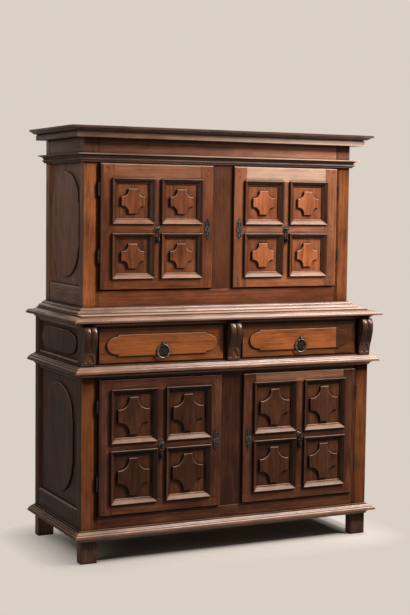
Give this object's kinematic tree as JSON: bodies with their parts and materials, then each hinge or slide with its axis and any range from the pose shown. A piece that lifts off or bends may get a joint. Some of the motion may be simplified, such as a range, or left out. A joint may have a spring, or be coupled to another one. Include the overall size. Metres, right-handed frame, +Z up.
{
  "type": "two-part sideboard",
  "caption": "Two-part walnut sideboard: a set-back upper cupboard on a wider lower one with drawers, panelled hinged doors, scroll consoles and stepped mouldings.",
  "frame": {"origin": "middle of the bounding box on the floor", "axes": "+Z up, front faces -Y, +X to the right seen from the front; metres"},
  "size_m": [1.55, 0.652, 1.8999],
  "materials": {
    "walnut": "waxed reddish walnut",
    "walnut_orange": "waxed orange-brown walnut",
    "walnut_dark": "dark waxed walnut",
    "walnut_side": "dark brown aged walnut",
    "inner_wood": "plain unpolished inner boards",
    "iron": "dark forged iron"
  },
  "bodies": {
    "lower_body": {"base_moulding": "walnut", "belt_moulding": "walnut", "centre_corbel": "walnut_dark", "drawer_deck": "inner_wood", "left_corbel": "walnut_dark", "lower_back_panel": "inner_wood", "lower_floor_board": "inner_wood", "lower_front_frame": "walnut_dark", "lower_left_side_frame": "walnut_side", "lower_right_side_frame": "walnut_side", "lower_shelf": "inner_wood", "right_corbel": "walnut_dark", "waist_top_board": "walnut"},
    "upper_body": {"architrave_moulding": "walnut", "cornice": "walnut", "upper_back_panel": "inner_wood", "upper_base_board": "walnut", "upper_front_frame": "walnut", "upper_left_side_frame": "walnut_side", "upper_right_side_frame": "walnut_side", "upper_roof_board": "inner_wood", "upper_shelf": "inner_wood"},
    "lower_left_door": {"lower_left_door_frame": "walnut_dark", "lower_left_door_panel_bottom_left": "walnut_dark", "lower_left_door_panel_bottom_right": "walnut_dark", "lower_left_door_panel_top_left": "walnut_dark", "lower_left_door_panel_top_right": "walnut_dark", "lower_left_escutcheon": "iron"},
    "lower_left_bolt": {"lower_left_lock_bolt": "iron"},
    "lower_left_drop": {"lower_left_drop_pull": "iron"},
    "lower_right_door": {"lower_right_door_frame": "walnut_dark", "lower_right_door_panel_bottom_left": "walnut_dark", "lower_right_door_panel_bottom_right": "walnut_dark", "lower_right_door_panel_top_left": "walnut_dark", "lower_right_door_panel_top_right": "walnut_dark", "lower_right_escutcheon": "iron"},
    "lower_right_bolt": {"lower_right_lock_bolt": "iron"},
    "lower_right_drop": {"lower_right_drop_pull": "iron"},
    "upper_left_door": {"upper_left_door_frame": "walnut", "upper_left_door_panel_bottom_left": "walnut", "upper_left_door_panel_bottom_right": "walnut", "upper_left_door_panel_top_left": "walnut", "upper_left_door_panel_top_right": "walnut", "upper_left_escutcheon": "iron"},
    "upper_left_bolt": {"upper_left_lock_bolt": "iron"},
    "upper_left_drop": {"upper_left_drop_pull": "iron"},
    "upper_right_door": {"upper_right_door_frame": "walnut", "upper_right_door_panel_bottom_left": "walnut", "upper_right_door_panel_bottom_right": "walnut", "upper_right_door_panel_top_left": "walnut", "upper_right_door_panel_top_right": "walnut", "upper_right_escutcheon": "iron"},
    "upper_right_bolt": {"upper_right_lock_bolt": "iron"},
    "upper_right_drop": {"upper_right_drop_pull": "iron"},
    "left_drawer": {"left_drawer_box": "inner_wood", "left_drawer_front": "walnut_orange"},
    "left_ring": {"left_drawer_ring": "iron"},
    "right_drawer": {"right_drawer_box": "inner_wood", "right_drawer_front": "walnut_orange"},
    "right_ring": {"right_drawer_ring": "iron"}
  },
  "joints": [
    {"name": "upper_lift", "type": "slide", "parent": "lower_body", "child": "upper_body", "axis": [0, 0, 1], "range_m": [0, 0.08]},
    {"name": "lower_left_door_hinge", "type": "hinge", "parent": "lower_body", "child": "lower_left_door", "pos_m": [-0.6547, -0.2842, 0.353], "axis": [0, 0, -1], "range_deg": [0, 150]},
    {"name": "lower_left_bolt_slide", "type": "slide", "parent": "lower_left_door", "child": "lower_left_bolt", "axis": [1, 0, 0], "range_m": [0, 0.012]},
    {"name": "lower_left_drop_swing", "type": "hinge", "parent": "lower_left_door", "child": "lower_left_drop", "pos_m": [-0.3525, -0.3005, 0.507], "axis": [-1, 0, 0], "range_deg": [0, 75]},
    {"name": "lower_right_door_hinge", "type": "hinge", "parent": "lower_body", "child": "lower_right_door", "pos_m": [0.6547, -0.2842, 0.353], "axis": [0, 0, 1], "range_deg": [0, 150]},
    {"name": "lower_right_bolt_slide", "type": "slide", "parent": "lower_right_door", "child": "lower_right_bolt", "axis": [-1, 0, 0], "range_m": [0, 0.012]},
    {"name": "lower_right_drop_swing", "type": "hinge", "parent": "lower_right_door", "child": "lower_right_drop", "pos_m": [0.3525, -0.3005, 0.507], "axis": [-1, 0, 0], "range_deg": [0, 75]},
    {"name": "upper_left_door_hinge", "type": "hinge", "parent": "upper_body", "child": "upper_left_door", "pos_m": [-0.6077, -0.1672, 1.3331], "axis": [0, 0, -1], "range_deg": [0, 150]},
    {"name": "upper_left_bolt_slide", "type": "slide", "parent": "upper_left_door", "child": "upper_left_bolt", "axis": [1, 0, 0], "range_m": [0, 0.012]},
    {"name": "upper_left_drop_swing", "type": "hinge", "parent": "upper_left_door", "child": "upper_left_drop", "pos_m": [-0.328, -0.1835, 1.4561], "axis": [-1, 0, 0], "range_deg": [0, 75]},
    {"name": "upper_right_door_hinge", "type": "hinge", "parent": "upper_body", "child": "upper_right_door", "pos_m": [0.6077, -0.1672, 1.3331], "axis": [0, 0, 1], "range_deg": [0, 150]},
    {"name": "upper_right_bolt_slide", "type": "slide", "parent": "upper_right_door", "child": "upper_right_bolt", "axis": [-1, 0, 0], "range_m": [0, 0.012]},
    {"name": "upper_right_drop_swing", "type": "hinge", "parent": "upper_right_door", "child": "upper_right_drop", "pos_m": [0.328, -0.1835, 1.4561], "axis": [-1, 0, 0], "range_deg": [0, 75]},
    {"name": "left_drawer_slide", "type": "slide", "parent": "lower_body", "child": "left_drawer", "axis": [0, -1, 0], "range_m": [0, 0.33]},
    {"name": "left_ring_swing", "type": "hinge", "parent": "left_drawer", "child": "left_ring", "pos_m": [-0.349, -0.2946, 0.94948], "axis": [-1, 0, 0], "range_deg": [0, 90]},
    {"name": "right_drawer_slide", "type": "slide", "parent": "lower_body", "child": "right_drawer", "axis": [0, -1, 0], "range_m": [0, 0.33]},
    {"name": "right_ring_swing", "type": "hinge", "parent": "right_drawer", "child": "right_ring", "pos_m": [0.349, -0.2946, 0.94948], "axis": [-1, 0, 0], "range_deg": [0, 90]}
  ]
}
